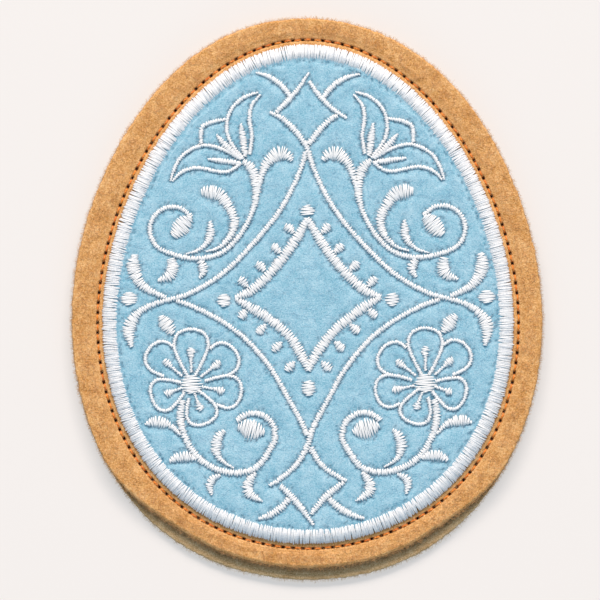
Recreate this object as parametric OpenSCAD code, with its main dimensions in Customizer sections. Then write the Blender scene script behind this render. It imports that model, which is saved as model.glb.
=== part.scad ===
// Flat egg-shaped coaster of embroidered felt, lying on its back.
// Layers from the table up: backing felt, stabilizer, front felt, pale blue applique felt, stitching.
// +Z is up, +Y points to the narrow end of the egg, the origin is under the middle of the outline.

/* [Felt] */
// Half of the felt egg's width
felt_half_width = 53.2; // [52:0.1:54]
// Half of the felt egg's height
felt_half_height = 64; // [63:0.1:65]
// Thickness of the backing felt
backing_thickness = 1.5; // [1.2:0.1:2]
// Thickness of the front felt
front_thickness = 1.5; // [1.2:0.1:2]
// How much shorter the front felt is than the backing at the wide end
front_short_cut = 2.6; // [0:0.1:3]

/* [Applique] */
// Thickness of the pale blue felt
applique_thickness = 1.2; // [1:0.1:1.6]
// Half of the blue egg's width at its cut edge
applique_half_width = 45.2; // [44.8:0.1:45.6]
// Half of the blue egg's height at its cut edge
applique_half_height = 55.5; // [55.1:0.1:55.9]

/* [Stitching] */
// Width of the satin border
border_width = 3.4; // [3:0.1:4]
// How far the satin border reaches past the applique's cut edge
border_overhang = 1; // [0.8:0.1:1.4]
// Height of the satin border above the applique
border_rise = 0.7; // [0.5:0.1:0.9]
// Height of the satin motifs above the applique
motif_rise = 0.6; // [0.4:0.1:0.8]
// Number of stitches in the orange edge seam
seam_stitches = 146; // [120:2:160]
// Thickness of the orange thread
seam_thread = 0.6; // [0.5:0.05:0.7]
// Number of stitches in each hidden line that places and tacks the applique
tack_stitches = 80; // [60:4:100]

/* [Hidden] */
$fn = 32;

// Colours
tan_felt = [0.82, 0.62, 0.40];
blue_felt = [0.58, 0.78, 0.87];
white_thread = [0.95, 0.94, 0.93];
orange_thread = [0.98, 0.50, 0.12];
stabilizer_white = [0.90, 0.90, 0.88];

// The embroidery sits a little off the middle of the felt and is turned a touch
design_shift = [0.2, 0.9];
design_turn = 0.3;
// The egg curves of the stitching sit this much above the middle of the motifs
egg_rise = 0.3;
// Both eggs are narrower towards +Y by these shares
felt_narrowing = 0.08;
design_narrowing = 0.122;

// Heights of the layers
bobbin_gap = 0.2;
stabilizer_thickness = 0.25;
stabilizer_z = backing_thickness + bobbin_gap;
front_z = stabilizer_z + stabilizer_thickness;
front_top = front_z + front_thickness;
applique_top = front_top + applique_thickness;

// Threads and needle holes
fine_thread = 0.4;
leg_diameter = 0.4;
fine_leg_diameter = 0.3;
needle_hole = 0.5;
channel_depth = 0.4;
channel_side_gap = 0.1;
tack_channel_depth = 0.3;
tack_channel_width = fine_thread + channel_side_gap;
seam_clear_of_table = 0.05;
lock_gap = 0.01;
cut_past = 1;

// Widths and heights of the hidden lines
seam_gap_to_border = 1.15;
tack_inset = 0.9;
placement_inset = 0.3;
bobbin_strip_width = 2.2;
bobbin_share = 0.4;
stabilizer_past_seam = 1.5;

// Samples along curves
felt_steps = 96;
egg_steps = 90;
stroke_steps = 3;
bobbin_steps = 2;

// ---------------------------------------------------------------- curves

// A point of an egg with half sizes a and b, narrower towards +Y by share k
function egg_point(a, b, k, t) = [a * cos(t) * (1 - k * sin(t)), b * sin(t)];

function egg(a, b, k, steps) = [for (i = [0:steps - 1]) egg_point(a, b, k, 360 * i / steps)];

// The scissors wandered a little, so the cut edge is not a perfect egg
slow_wander = 0.25;
quick_wander = 0.15;
function scissor_wave(t) = slow_wander * cos(4 * t - 170) + quick_wander * cos(6 * t + 25);

// The wide end of the front felt, where it was cut short: 1 across the bottom, 0 elsewhere
wide_end_full = 30;
wide_end_fade = 26;
function wide_end(t) =
    let (past = (abs(t - 270) - wide_end_full) / wide_end_fade)
    (1 + cos(180 * min(max(past, 0), 1))) / 2;

function felt_outline(short_cut) = [
    for (i = [0:felt_steps - 1])
        let (t = 360 * i / felt_steps)
        let (p = egg_point(felt_half_width, felt_half_height, felt_narrowing, t))
        let (reach = norm(p) + scissor_wave(t) - short_cut * wide_end(t))
        p / norm(p) * reach
];

function middle(values) = (max(values) + min(values)) / 2;

backing_outline = felt_outline(0);
felt_middle = [middle([for (p = backing_outline) p[0]]), middle([for (p = backing_outline) p[1]])];

// Catmull-Rom spline through points of any size, steps samples in each stretch
function spline_at(a, b, c, d, t) =
    b + 0.5 * t * (c - a + t * (2 * a - 5 * b + 4 * c - d + t * (3 * b - 3 * c + d - a)));

function spline(p, steps) = let (n = len(p)) concat(
    [
        for (i = [0:n - 2])
            for (j = [0:steps - 1])
                spline_at(p[max(i - 1, 0)], p[i], p[i + 1], p[min(i + 2, n - 1)], j / steps)
    ],
    [p[n - 1]]
);

// One side of a stroke: its middle line moved half its width to the left (side 1) or right (side -1)
function stroke_side(s, side, share) = [
    for (i = [0:len(s) - 1])
        let (run = s[min(i + 1, len(s) - 1)] - s[max(i - 1, 0)])
        let (along = [run[0], run[1]] / norm([run[0], run[1]]))
        [s[i][0], s[i][1]] + side * share * s[i][2] / 2 * [-along[1], along[0]]
];

function reversed(p) = [for (i = [len(p) - 1:-1:0]) p[i]];

// ---------------------------------------------------------------- motifs
// A stroke is a row of [x, y, width] points along its middle, in millimetres about the middle of
// the design, and a smooth curve runs through them. Mirrored motifs are given for the right half.

// A stroke that bends evenly, by sag to the left of its way; its width at the start, middle and end
bow_steps = 4;
function bow(from, to, sag, widths) = [
    for (i = [0:bow_steps])
        let (t = i / bow_steps, hump = 4 * t * (1 - t))
        let (left = [from[1] - to[1], to[0] - from[0]] / norm(to - from))
        let (place = from + t * (to - from) + sag * hump * left)
        let (ends = widths[0] * (1 - t) + widths[2] * t, swell = widths[1] - (widths[0] + widths[2]) / 2)
        [place[0], place[1], ends + swell * hump]
];

// A round stretch about a centre, from one direction to another
arc_steps = 6;
function arc(centre, radius, first, last, width) = [
    for (i = [0:arc_steps])
        let (t = first + (last - first) * i / arc_steps)
        [centre[0] + radius * cos(t), centre[1] + radius * sin(t), width]
];

// Widths of the lines that most motifs are drawn with
line = 1.1;
fine_line = 0.8;

// The diamonds at the ends: two inward bows each, and two whiskers that spread from them
whisker_widths = [0.4, 1.2, 0.9];
top_diamond_strokes = [
    bow([0.5, 50.5], [-7, 41.5], 0.5, [0.4, line, 1]),
    bow([0.5, 48.5], [9, 40], -0.8, [0.8, line, 0.6]),
    bow([-11.5, 50.5], [-3.5, 44.5], 1.2, whisker_widths),
    bow([12, 50], [3.5, 44.5], -1.2, whisker_widths)
];
bottom_diamond_strokes = [
    bow([1, -52], [-6.5, -43], -0.4, [0.6, 1.4, 1.2]),
    bow([0.5, -49.5], [8.5, -42], 0.6, [0.9, 1.5, 0.9]),
    bow([-11.5, -50.5], [-4.5, -46], -0.8, [0.6, 1.6, 1.2]),
    bow([12.5, -50.5], [4.5, -46], 0.8, [0.6, 1.6, 1.2])
];

// The lattice: from the left corner of an end diamond, across the middle, to a hook at the side
upper_run = [
    [-5.5, 40, 1.2], [-2.5, 37, 1.3], [0, 33.5, 1.2],
    [1, 30, line], [3.5, 24, line], [7.5, 17.5, line], [14, 10, line], [20, 4.5, line], [27, 0.5, line],
    [34, -1.5, line], [38, -3.5, 1.6], [40.5, -7, 2.8], [40, -11.5, 0.8]
];
lower_run = [
    [39, 9.5, 1.2], [39.5, 6.5, 2.8], [37.5, 2.5, 2], [33, 0, line],
    [27, -2, line], [20, -5.5, line], [14, -10, line], [8.5, -16.5, line], [4.5, -23.5, line],
    [1, -30, 1.2], [-0.5, -34.5, 1.3], [-3, -38.5, line]
];
// The strands with their hooks at the right make the diamonds' left corners; the mirrored ones end short
upper_strand = concat([[-8.5, 41.5, 0.7]], upper_run);
upper_strand_short = concat([[-7, 40.5, 0.9]], upper_run);
lower_strand = concat(lower_run, [[-6.5, -41.5, line], [-9, -43, 0.7]]);
lower_strand_short = concat(lower_run, [[-6.5, -41, line], [-8.5, -42, 0.7]]);

// The centre diamond, drawn with bolder bars
bar = 2.1;
centre_bar_upper = [
    [0, 17.5, 1.2], [2.5, 13, bar], [6, 8, bar], [9.5, 4, bar], [13, 1, bar], [16.5, -0.5, 1]
];
centre_bar_lower = [
    [16.5, -0.5, 1], [12.5, -3, bar], [8.5, -5.5, bar], [4.5, -9, bar], [1.5, -13.5, bar], [0, -17, 1.2]
];
// The right lower bar bends in less than the left one
centre_bar_lower_right = [
    [16.5, -0.5, 1], [13, -2.5, bar], [9.5, -5, bar], [5.5, -8.5, bar], [2, -13, bar], [0, -17, 1.2]
];

// Drops that stand off the upper bar; the lower bar's are their mirror image about the picot axis
picots = [[4, 15], [7, 10.5], [10.5, 6.5], [14.5, 3]];
picot_axis = -0.5;
picot_length = 2.9;
picot_width = 2.2;
// Dots at the corners of the centre diamond, and at the sides: [place, size]
corner_dots = [[[0, 19], [3, 3]], [[0, -21], [3, 3.5]], [[19, -1], [3, 3]], [[-19, -1], [3, 3]]];
side_dot = [[40.5, -0.5], [3.5, 3]];

// Three petals that open from one place, each with a stamen along its middle
stamen_widths = [0.4, 1.6, 0.9];
lily_strokes = [
    [[10.5, 45.5, 0.4], [12.5, 43, fine_line], [13, 40, 0.9], [12.5, 36, fine_line], [13, 32, fine_line]],
    [[11, 46, 0.4], [14, 45, fine_line], [16.5, 43, fine_line], [18, 40, fine_line], [18, 36.5, fine_line],
        [16.5, 33.5, fine_line], [14.5, 31, fine_line]],
    bow([15, 39], [14, 31.5], 0, stamen_widths),
    [[18, 40, 0.5], [21, 39.5, 0.9], [23.5, 38.5, 0.9], [24, 37, 0.9], [24, 34.5, fine_line]],
    bow([20.5, 36.5], [15, 31], 0.3, stamen_widths),
    [[31, 26, 0.4], [30, 29, fine_line], [28, 32, fine_line], [24, 34, fine_line], [20, 33.5, fine_line],
        [15, 31, fine_line]],
    [[30.5, 26, 0.4], [28.5, 28, fine_line], [25, 29, fine_line], [18.5, 28, fine_line], [15, 30, fine_line]],
    bow([22.5, 31], [15, 30], 0, [0.4, 1.2, 0.7])
];

// The lily's stem ends in an arc with a drop in it; leaves and buds spring from it
lily_scroll_strokes = [
    concat(
        [[14.5, 30.5, 1.2], [12.5, 28.5, 2.1], [11.5, 24, 1.8], [12.5, 19, line], [15.5, 13.5, line],
            [20, 9.5, line], [26, 8.5, line]],
        arc([30.5, 15], 5.2, -70, 145, 1)
    ),
    bow([26.5, 18], [30.5, 13.5], 0, [1.4, 3.8, 1.5]),
    [[3.5, 30.5, 1], [5, 32, 2.6], [7, 32, 2.9], [9.5, 29.5, 1.9], [10.5, 26.5, 1.3], [11.5, 22.5, 0.6]],
    [[24, 23.5, 1.4], [22.5, 23.5, 3], [20, 23, 2.9], [18, 20.5, 2.2], [16.5, 17, 1.9], [17.5, 13.5, 1.4],
        [20, 11, fine_line], [23, 10, 0.3]],
    [[22, 17, 0.6], [22, 14.5, 1.8], [22.5, 12.5, 1.5], [24.5, 10.5, fine_line], [27.5, 9.5, 0.3]],
    [[24.5, 8, 1.6], [23.5, 6, 1.9], [24.5, 4, 0.6]],
    [[31, 8.5, 1.8], [30.5, 6, 2.6], [31.5, 4.5, 2.4], [34, 3.5, 0.6]]
];

// Flower petals: direction from the heart, reach, breadth, and where the outline starts and stops
// (0 and 360 at the heart, 180 at the tip; petals partly hidden by a neighbour start later)
flower_heart = [26.5, -20];
heart_size = [4.6, 4.2];
petals = [
    [90, 12.5, 3.1, 45, 315], [42, 12.5, 2.9, 115, 274], [-20, 9.5, 2.9, 55, 305],
    [-110, 9.5, 2.8, 65, 315], [-168, 11.5, 2.9, 98, 300], [142, 12.5, 3, 105, 250]
];
petal_line = 0.75;
petal_fullness = 0.9;
petal_steps = 8;
function petal_outline(p) = [
    for (i = [0:petal_steps])
        let (t = p[3] + (p[4] - p[3]) * i / petal_steps)
        let (along = p[1] * (1 - cos(t)) / 2, across = p[2] * sin(t) * (1 - petal_fullness * cos(t)))
        [
            flower_heart[0] + along * cos(p[0]) - across * sin(p[0]),
            flower_heart[1] + along * sin(p[0]) + across * cos(p[0]),
            petal_line
        ]
];

// A stamen in each petal, thin with a round end: shares of the petal's reach, and widths
stamen_run = [[0.22, 0.6], [0.44, 0.7], [0.56, 1.6], [0.62, 1.7], [0.67, 0.6]];
function stamen(p) = [
    for (k = stamen_run)
        [flower_heart[0] + k[0] * p[1] * cos(p[0]), flower_heart[1] + k[0] * p[1] * sin(p[0]), k[1]]
];
flower_strokes = concat([for (p = petals) petal_outline(p)], [for (p = petals) stamen(p)]);

bud_strokes = [bow([30.5, -8.5], [33.5, -4.5], 0, [1, 3, 1])];

// The flower's stem ends in a wider arc with a fat drop in it, and carries five leaves
flower_scroll_strokes = [
    concat(
        [[28.5, -23.5, 1.3], [29, -28, 1.6], [27.5, -33, 1.4], [24, -37.5, 1.4], [18, -40, 1.4],
            [12, -39, 1.4]],
        arc([12.5, -31.5], 4.9, 205, 40, 1.3)
    ),
    bow([16, -29.5], [10, -31], 0, [1.2, 4.4, 1]),
    [[19, -30.5, fine_line], [20.5, -32, 2], [21, -34.5, 2.1], [20, -37, line], [17, -39, 0.3]],
    [[29, -31.5, 0.6], [31, -29.5, 1.3], [33.5, -28.5, 2.3], [35.5, -28.5, 2], [37, -29, 0.4]],
    bow([25.5, -37], [31.5, -37.5], 1, [0.9, 2.3, 0.8]),
    [[20, -40.5, 0.7], [22, -41.5, 1.7], [22.5, -43, 1.6], [22, -45, 0.6]],
    [[12, -40, 0.7], [13.5, -42, 2], [14, -44, 2.3], [12.5, -45.5, 1.6], [10.5, -46.5, 0.3]]
];

// ---------------------------------------------------------------- shared shapes

module in_design() {
    translate([design_shift[0], design_shift[1], 0]) rotate(design_turn) children();
}

// The outline of a stroke, at a share of its full width: the thin bobbin thread needs fewer samples
module stroke(points, share = 1) {
    s = spline(points, share < 1 ? bobbin_steps : stroke_steps);
    polygon(concat(stroke_side(s, 1, share), reversed(stroke_side(s, -1, share))));
}

module strokes(list, share = 1) {
    for (points = list) stroke(points, share);
}

module oval(place, size, share = 1) {
    steps = 20;
    polygon([
        for (i = [0:steps - 1])
            let (t = 360 * i / steps)
            place + share / 2 * [size[0] * cos(t), size[1] * sin(t)]
    ]);
}

// A drop lying along the given direction, its far end rounder than its near end
drop_fatness = 0.3;
module drop(place, direction, length, width, share = 1) {
    steps = 14;
    translate(place) rotate(direction)
        polygon([
            for (i = [0:steps - 1])
                let (t = 360 * i / steps)
                let (half_width = width / 2 * sin(t) * (1 - drop_fatness / 2 + drop_fatness * cos(t)))
                [length / 2 * cos(t), share * half_width]
        ]);
}

// Half sizes of the egg curve that lies the given distance outside the applique's cut edge
function line_half(distance) = [applique_half_width + distance, applique_half_height + distance];

function design_egg(distance, steps = egg_steps) =
    let (half = line_half(distance))
    [for (p = egg(half[0], half[1], design_narrowing, steps)) p + [0, egg_rise]];

// A flat ring between two distances outside the applique's cut edge
module egg_ring(inner, outer, height) {
    linear_extrude(height) difference() {
        polygon(design_egg(outer));
        polygon(design_egg(inner));
    }
}

// Even places along an egg curve: the arc length up to each fine sample, then one place per stitch
fine_steps = 720;
function lengths(p, i = 1, sum = 0, out = [0]) =
    i > len(p)
        ? out
        : let (next = sum + norm(p[i % len(p)] - p[i - 1])) lengths(p, i + 1, next, concat(out, [next]));

function first_over(list, value, low, high) =
    high - low <= 1
        ? high
        : let (mid = floor((low + high) / 2))
            list[mid] < value ? first_over(list, value, mid, high) : first_over(list, value, low, mid);

function even_places(distance, count) =
    let (p = design_egg(distance, fine_steps), run = lengths(p))
    [
        for (i = [0:count - 1])
            let (want = run[fine_steps] * i / count)
            let (j = first_over(run, want, 0, fine_steps))
            let (share = (want - run[j - 1]) / (run[j] - run[j - 1]))
            p[j - 1] + share * (p[j % fine_steps] - p[j - 1])
    ];

seam_distance = border_overhang + seam_gap_to_border;
seam_places = even_places(seam_distance, seam_stitches);
placement_places = even_places(-placement_inset, tack_stitches);
tack_places = even_places(-tack_inset, tack_stitches);

// Straight stitches from needle hole to needle hole
module stitch_bars(places, width, height) {
    for (i = [0:len(places) - 1]) {
        run = places[(i + 1) % len(places)] - places[i];
        translate([places[i][0], places[i][1], 0]) rotate(atan2(run[1], run[0]))
            translate([0, -width / 2, 0]) cube([norm(run), width, height]);
    }
}

module legs(places, diameter, low, high) {
    for (p = places) translate([p[0], p[1], low]) cylinder(d = diameter, h = high - low);
}

module needle_holes(places, low, high) {
    legs(places, needle_hole, low - cut_past, high + cut_past);
}

module channel(distance, width, low, height) {
    translate([0, 0, low]) egg_ring(distance - width / 2, distance + width / 2, height);
}

// ---------------------------------------------------------------- felt and stabilizer

module felt_sheet(outline, thickness) {
    linear_extrude(thickness) translate(-felt_middle) polygon(outline);
}

module backing_felt() {
    color(tan_felt) difference() {
        felt_sheet(backing_outline, backing_thickness);
        in_design() {
            needle_holes(seam_places, 0, backing_thickness);
            channel(seam_distance, seam_thread + 2 * channel_side_gap, -cut_past, cut_past + channel_depth);
        }
    }
}

module stabilizer() {
    color(stabilizer_white) in_design() translate([0, 0, stabilizer_z]) difference() {
        linear_extrude(stabilizer_thickness) polygon(design_egg(seam_distance + stabilizer_past_seam));
        needle_holes(concat(seam_places, placement_places, tack_places), 0, stabilizer_thickness);
    }
}

module front_felt() {
    color(tan_felt) difference() {
        translate([0, 0, front_z]) felt_sheet(felt_outline(front_short_cut), front_thickness);
        in_design() {
            needle_holes(concat(seam_places, placement_places, tack_places), front_z, front_top);
            channel(seam_distance, seam_thread + 2 * channel_side_gap, front_top - channel_depth, cut_past);
            channel(-placement_inset, tack_channel_width, front_top - tack_channel_depth, cut_past);
        }
    }
}

module applique_felt() {
    color(blue_felt) in_design() difference() {
        translate([0, 0, front_top]) linear_extrude(applique_thickness) polygon(design_egg(0));
        needle_holes(tack_places, front_top, applique_top);
        channel(-tack_inset, tack_channel_width, applique_top - tack_channel_depth, cut_past);
    }
}

// ---------------------------------------------------------------- seams

seam_lock_z = (backing_thickness + front_z) / 2;

module seam_top_thread() {
    color(orange_thread) in_design() {
        translate([0, 0, front_top - channel_depth]) stitch_bars(seam_places, seam_thread, seam_thread);
        legs(seam_places, leg_diameter, seam_lock_z, front_top);
    }
}

module seam_bobbin_thread() {
    color(orange_thread) in_design() {
        translate([0, 0, seam_clear_of_table])
            stitch_bars(seam_places, seam_thread, channel_depth - seam_clear_of_table);
        legs(seam_places, leg_diameter, seam_clear_of_table, seam_lock_z - lock_gap);
    }
}

module placement_thread() {
    color(white_thread) in_design() {
        translate([0, 0, front_top - tack_channel_depth])
            stitch_bars(placement_places, fine_thread, tack_channel_depth);
        legs(placement_places, fine_leg_diameter, stabilizer_z, front_top);
    }
}

module tackdown_thread() {
    color(white_thread) in_design() {
        translate([0, 0, applique_top - tack_channel_depth])
            stitch_bars(tack_places, fine_thread, tack_channel_depth);
        legs(tack_places, fine_leg_diameter, stabilizer_z, applique_top);
    }
}

module border_bobbin_thread() {
    middle_line = border_overhang - border_width / 2;
    color(white_thread) in_design() translate([0, 0, backing_thickness])
        egg_ring(middle_line - bobbin_strip_width / 2, middle_line + bobbin_strip_width / 2, bobbin_gap);
}

module motif_bobbin_thread() {
    color(white_thread) in_design() translate([0, 0, backing_thickness])
        linear_extrude(bobbin_gap) all_motifs(bobbin_share);
}

module satin_border() {
    color(white_thread) in_design() {
        translate([0, 0, applique_top]) egg_ring(border_overhang - border_width, 0, border_rise);
        translate([0, 0, front_top]) egg_ring(0, border_overhang, applique_thickness + border_rise);
    }
}

// ---------------------------------------------------------------- motif footprints

module top_diamond_shape(share = 1) strokes(top_diamond_strokes, share);
module bottom_diamond_shape(share = 1) strokes(bottom_diamond_strokes, share);
module upper_strand_right_shape(share = 1) stroke(upper_strand, share);
module upper_strand_left_shape(share = 1) left_half() stroke(upper_strand_short, share);
module lower_strand_right_shape(share = 1) stroke(lower_strand, share);
module lower_strand_left_shape(share = 1) left_half() stroke(lower_strand_short, share);

module centre_diamond_shape(share = 1) {
    for (side = [0, 1]) mirror([side, 0]) stroke(centre_bar_upper, share);
    left_half() stroke(centre_bar_lower, share);
    stroke(centre_bar_lower_right, share);
}

module centre_picots_shape(share = 1) {
    for (side = [0, 1]) mirror([side, 0]) {
        for (p = picots) {
            drop(p, 45, picot_length, picot_width, share);
            drop([p[0], 2 * picot_axis - p[1]], -45, picot_length, picot_width, share);
        }
    }
    for (dot = corner_dots) oval(dot[0], dot[1], share);
}

module side_dot_shape(share = 1) oval(side_dot[0], side_dot[1], share);
module lily_shape(share = 1) strokes(lily_strokes, share);
module lily_scroll_shape(share = 1) strokes(lily_scroll_strokes, share);

module flower_shape(share = 1) {
    strokes(flower_strokes, share);
    oval(flower_heart, heart_size, share);
}

module bud_shape(share = 1) strokes(bud_strokes, share);
module flower_scroll_shape(share = 1) strokes(flower_scroll_strokes, share);

module all_motifs(share) {
    top_diamond_shape(share);
    bottom_diamond_shape(share);
    centre_diamond_shape(share);
    centre_picots_shape(share);
    upper_strand_right_shape(share);
    upper_strand_left_shape(share);
    lower_strand_right_shape(share);
    lower_strand_left_shape(share);
    for (side = [0, 1]) mirror([side, 0]) {
        side_dot_shape(share);
        lily_shape(share);
        lily_scroll_shape(share);
        flower_shape(share);
        bud_shape(share);
        flower_scroll_shape(share);
    }
}

// A motif's satin stitching, lying on the applique
module satin() {
    color(white_thread) in_design() translate([0, 0, applique_top]) linear_extrude(motif_rise) children();
}

module left_half() mirror([1, 0]) children();

// ---------------------------------------------------------------- motifs as threads
// Where two runs of thread cross, the later one lies across a gap in the earlier one.

module top_diamond() {
    satin() difference() {
        top_diamond_shape();
        upper_strand_right_shape();
        upper_strand_left_shape();
    }
}

module bottom_diamond() {
    satin() difference() {
        bottom_diamond_shape();
        lower_strand_right_shape();
        lower_strand_left_shape();
    }
}

module centre_diamond() satin() centre_diamond_shape();

module centre_picots() satin() difference() {
    centre_picots_shape();
    centre_diamond_shape();
}

module upper_strand_right() satin() upper_strand_right_shape();

module upper_strand_left() satin() difference() {
    upper_strand_left_shape();
    upper_strand_right_shape();
}

module lower_strand_right() satin() difference() {
    lower_strand_right_shape();
    upper_strand_right_shape();
}

module lower_strand_left() satin() difference() {
    lower_strand_left_shape();
    upper_strand_left_shape();
    lower_strand_right_shape();
}

module side_dot_left() satin() left_half() side_dot_shape();
module side_dot_right() satin() side_dot_shape();
module lily_left() satin() left_half() lily_shape();
module lily_right() satin() lily_shape();
module lily_scroll_left() satin() left_half() lily_scroll_shape();
module lily_scroll_right() satin() lily_scroll_shape();
module flower_left() satin() left_half() flower_shape();
module flower_right() satin() flower_shape();
module bud_left() satin() left_half() bud_shape();
module bud_right() satin() bud_shape();
module flower_scroll_left() satin() left_half() flower_scroll_shape();
module flower_scroll_right() satin() flower_scroll_shape();

backing_felt();
stabilizer();
front_felt();
applique_felt();
seam_top_thread();
seam_bobbin_thread();
placement_thread();
tackdown_thread();
border_bobbin_thread();
motif_bobbin_thread();
satin_border();
top_diamond();
bottom_diamond();
centre_diamond();
centre_picots();
upper_strand_left();
upper_strand_right();
lower_strand_left();
lower_strand_right();
side_dot_left();
side_dot_right();
lily_left();
lily_right();
lily_scroll_left();
lily_scroll_right();
flower_left();
flower_right();
bud_left();
bud_right();
flower_scroll_left();
flower_scroll_right();
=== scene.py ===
import math

import bpy
import numpy as np
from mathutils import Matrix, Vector, kdtree


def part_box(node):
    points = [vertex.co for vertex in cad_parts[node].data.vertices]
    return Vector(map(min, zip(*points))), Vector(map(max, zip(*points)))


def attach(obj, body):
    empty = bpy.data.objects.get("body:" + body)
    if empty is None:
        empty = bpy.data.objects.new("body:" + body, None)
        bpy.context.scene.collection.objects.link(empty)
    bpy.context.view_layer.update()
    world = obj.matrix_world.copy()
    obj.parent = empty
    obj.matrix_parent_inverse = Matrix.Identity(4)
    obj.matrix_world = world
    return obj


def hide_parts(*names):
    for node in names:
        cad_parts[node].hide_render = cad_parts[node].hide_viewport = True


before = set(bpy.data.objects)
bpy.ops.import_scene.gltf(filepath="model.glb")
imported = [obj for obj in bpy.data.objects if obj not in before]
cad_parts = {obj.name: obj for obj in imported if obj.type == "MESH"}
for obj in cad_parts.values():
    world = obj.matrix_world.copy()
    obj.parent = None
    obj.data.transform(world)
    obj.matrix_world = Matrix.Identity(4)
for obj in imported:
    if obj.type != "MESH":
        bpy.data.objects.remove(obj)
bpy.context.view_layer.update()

# ---------- sizes, in millimetres
# Meshes are worked out in millimetres and become metres when they are made.
MM = 0.001


def heights(node):
    """The lowest and highest level of a CAD node."""
    return [corner[2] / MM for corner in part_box(node)]


BACKING_TOP = heights("backing_felt")[1]
FRONT_LOW, FRONT_TOP = heights("front_felt")
APPLIQUE_TOP = heights("applique_felt")[1]

# Where the embroidery lies and the shapes of the eggs, as in the CAD
DESIGN_SHIFT = np.array([0.2, 0.9])
DESIGN_TURN = math.radians(0.3)
EGG_RISE = 0.3
APPLIQUE_HALF = (45.2, 55.5)
APPLIQUE_NARROWING = 0.122
FELT_HALF = (53.2, 64.0)
FELT_NARROWING = 0.08
FRONT_SHORT_CUT = 2.6
SEAM_DISTANCE = 2.15
SEAM_STITCHES = 146
BORDER_OUTER = 1.0
BORDER_INNER = -2.4

# Threads
SATIN_PITCH = 0.31
# Strokes no wider than this have finer stitching
FINE_STROKE = 1.45
FINE_PITCH = 0.28
SATIN_HALF_WIDTH = 0.165
SATIN_HALF_HEIGHT = 0.085
# How far the foot of a thread's crown lies below the felt's level
SATIN_SINK = 0.35
# Thread ends lie a little outside the stroke's edge, by a share of its half width
SATIN_SPREAD = 1.14
SATIN_INSET = 0.02
LONGEST_TAIL = 0.65
# How far the felt is held down at the stitching
HELD_DOWN = 0.14
BORDER_PITCH = 0.27
BORDER_HALF_HEIGHT = 0.1


# ---------- curves
def egg(half, narrowing, turn):
    """Points of an egg, narrower towards +Y, at angles given in radians."""
    x = half[0] * np.cos(turn) * (1 - narrowing * np.sin(turn))
    return np.stack([x, half[1] * np.sin(turn)], -1)


def placed(xy):
    """Takes points from the embroidery's axes to the frame's."""
    c, s = math.cos(DESIGN_TURN), math.sin(DESIGN_TURN)
    return np.asarray(xy) @ np.array([[c, s], [-s, c]]) + DESIGN_SHIFT


def design_egg(distance, steps=1440):
    """The closed egg curve that lies a distance outside the applique's cut edge."""
    half = (APPLIQUE_HALF[0] + distance, APPLIQUE_HALF[1] + distance)
    turn = np.linspace(0, 2 * math.pi, steps, endpoint=False)
    return placed(egg(half, APPLIQUE_NARROWING, turn) + [0, EGG_RISE])


def distance_along(points):
    """The distance along a path, or along each of several, at each of its points."""
    steps = np.linalg.norm(np.diff(points, axis=-2), axis=-1)
    return np.concatenate([np.zeros(steps.shape[:-1] + (1,)), np.cumsum(steps, -1)], -1)


def unit(vectors, tiny=0.0):
    """Vectors at length one."""
    return vectors / (np.linalg.norm(vectors, axis=-1, keepdims=True) + tiny)


def even_places(curve, count):
    """Places spread evenly along a closed curve, and the outward normals there."""
    ring = np.vstack([curve, curve[:1]])
    run = distance_along(ring)
    want = np.arange(count) * run[-1] / count
    spots = np.stack([np.interp(want, run, ring[:, k]) for k in (0, 1)], -1)
    ahead = unit(np.roll(spots, -1, 0) - np.roll(spots, 1, 0))
    return spots, np.stack([ahead[:, 1], -ahead[:, 0]], -1)


def felt_outline(short_cut, steps=1440):
    """The hand-cut edge of a felt, as in the CAD: an egg with a slight wander, cut short at the wide end."""
    turn = np.linspace(0, 2 * math.pi, steps, endpoint=False)
    degrees = np.degrees(turn)
    wander = 0.25 * np.cos(np.radians(4 * degrees - 170)) + 0.15 * np.cos(np.radians(6 * degrees + 25))
    past = np.clip((np.abs(degrees - 270) - 30) / 26, 0, 1)
    points = egg(FELT_HALF, FELT_NARROWING, turn)
    reach = np.linalg.norm(points, axis=1)
    return points * ((reach + wander - short_cut * (1 + np.cos(math.pi * past)) / 2) / reach)[:, None]


BACKING_OUTLINE = felt_outline(0)
FELT_MIDDLE = (BACKING_OUTLINE.max(0) + BACKING_OUTLINE.min(0)) / 2


def radius_of(curve):
    """The distance of a closed curve from the origin, as a function of the angle."""
    angle = np.arctan2(curve[:, 1], curve[:, 0])
    order = np.argsort(angle)
    reach = np.linalg.norm(curve, axis=1)[order]
    return lambda turn: np.interp(turn, angle[order], reach, period=2 * math.pi)


def spline(points, steps):
    """Catmull-Rom spline through rows of numbers."""
    p = np.asarray(points, float)
    p = np.vstack([p[:1], p, p[-1:]])
    t = np.linspace(0, 1, steps, endpoint=False)[:, None]
    out = []
    for a, b, c, d in zip(p, p[1:], p[2:], p[3:]):
        cubic = 3 * b - 3 * c + d - a
        out.append(0.5 * (2 * b + (c - a) * t + (2 * a - 5 * b + 4 * c - d) * t**2 + cubic * t**3))
    out.append(p[-1:])
    return np.vstack(out)


def towards(turn):
    """Unit vectors in directions given in radians."""
    return np.stack([np.cos(turn), np.sin(turn)], -1)


def smooth_step(value, low_end, high_end):
    x = np.clip((value - low_end) / (high_end - low_end), 0, 1)
    return x * x * (3 - 2 * x)


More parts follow.
